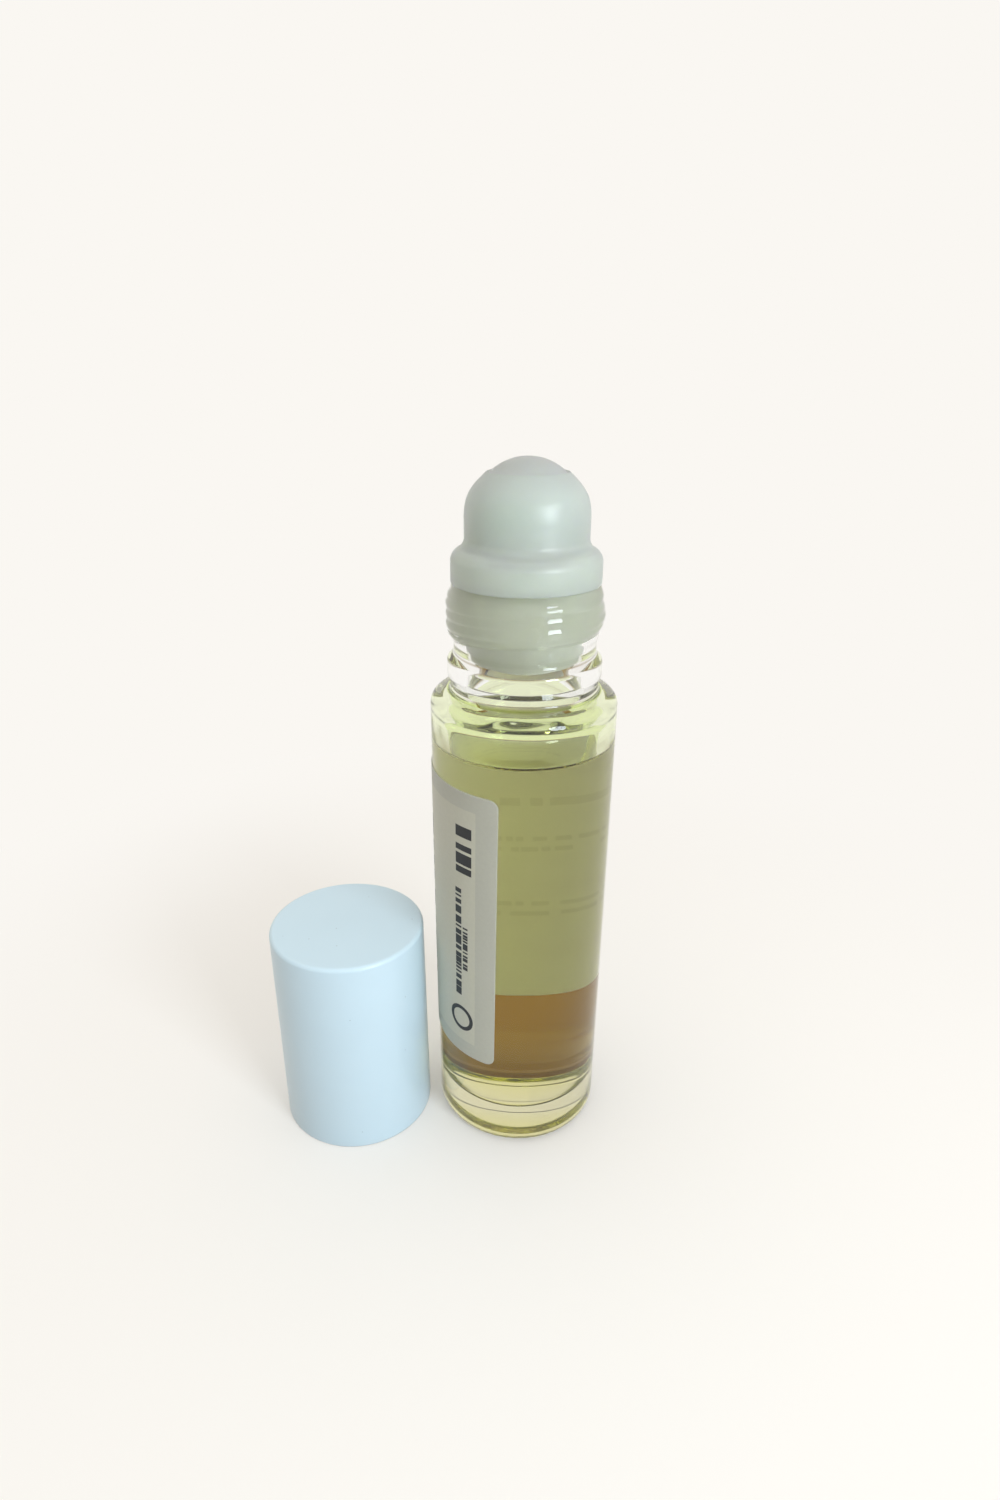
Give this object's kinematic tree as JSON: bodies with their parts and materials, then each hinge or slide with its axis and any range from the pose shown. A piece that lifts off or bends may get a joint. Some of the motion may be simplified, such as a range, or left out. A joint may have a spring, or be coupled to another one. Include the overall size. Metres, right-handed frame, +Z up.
{
  "type": "roll-on bottle",
  "caption": "Small clear glass roll-on bottle of pale yellow-green oil, with a translucent ball applicator in its threaded neck, a paper label, and its white screw cap standing beside it.",
  "frame": {"origin": "centre of the bottle's bearing ring, on the bottle's axis, in the plane that bottle and cap stand on", "axes": "+Z up along the bottle's axis; -Y is the side that the picture shows in front; the cap stands beside the bottle towards -X"},
  "size_m": [0.0399, 0.0216, 0.0792],
  "materials": {
    "clear_glass": "clear moulded soda-lime glass",
    "natural_housing_plastic": "translucent natural polyethylene, satin as moulded",
    "natural_ball_plastic": "translucent natural polypropylene, satin",
    "white_cap_plastic": "white polypropylene, smooth, half gloss",
    "label_paper": null,
    "oil": null
  },
  "bodies": {
    "bottle": {"bottle": "clear_glass", "roller_housing": "natural_housing_plastic", "label": "label_paper", "oil": "oil"},
    "ball": {"roller_ball": "natural_ball_plastic"},
    "cap": {"screw_cap": "white_cap_plastic"}
  },
  "joints": [
    {"name": "ball_roll", "type": "hinge", "parent": "bottle", "child": "ball", "pos_m": [0, 0, 0.07356], "axis": [1, 0, 0], "continuous": true},
    {"name": "cap_lift", "type": "slide", "parent": "bottle", "child": "cap", "axis": [0, 0, 1], "range_m": [0, 0.085]}
  ]
}
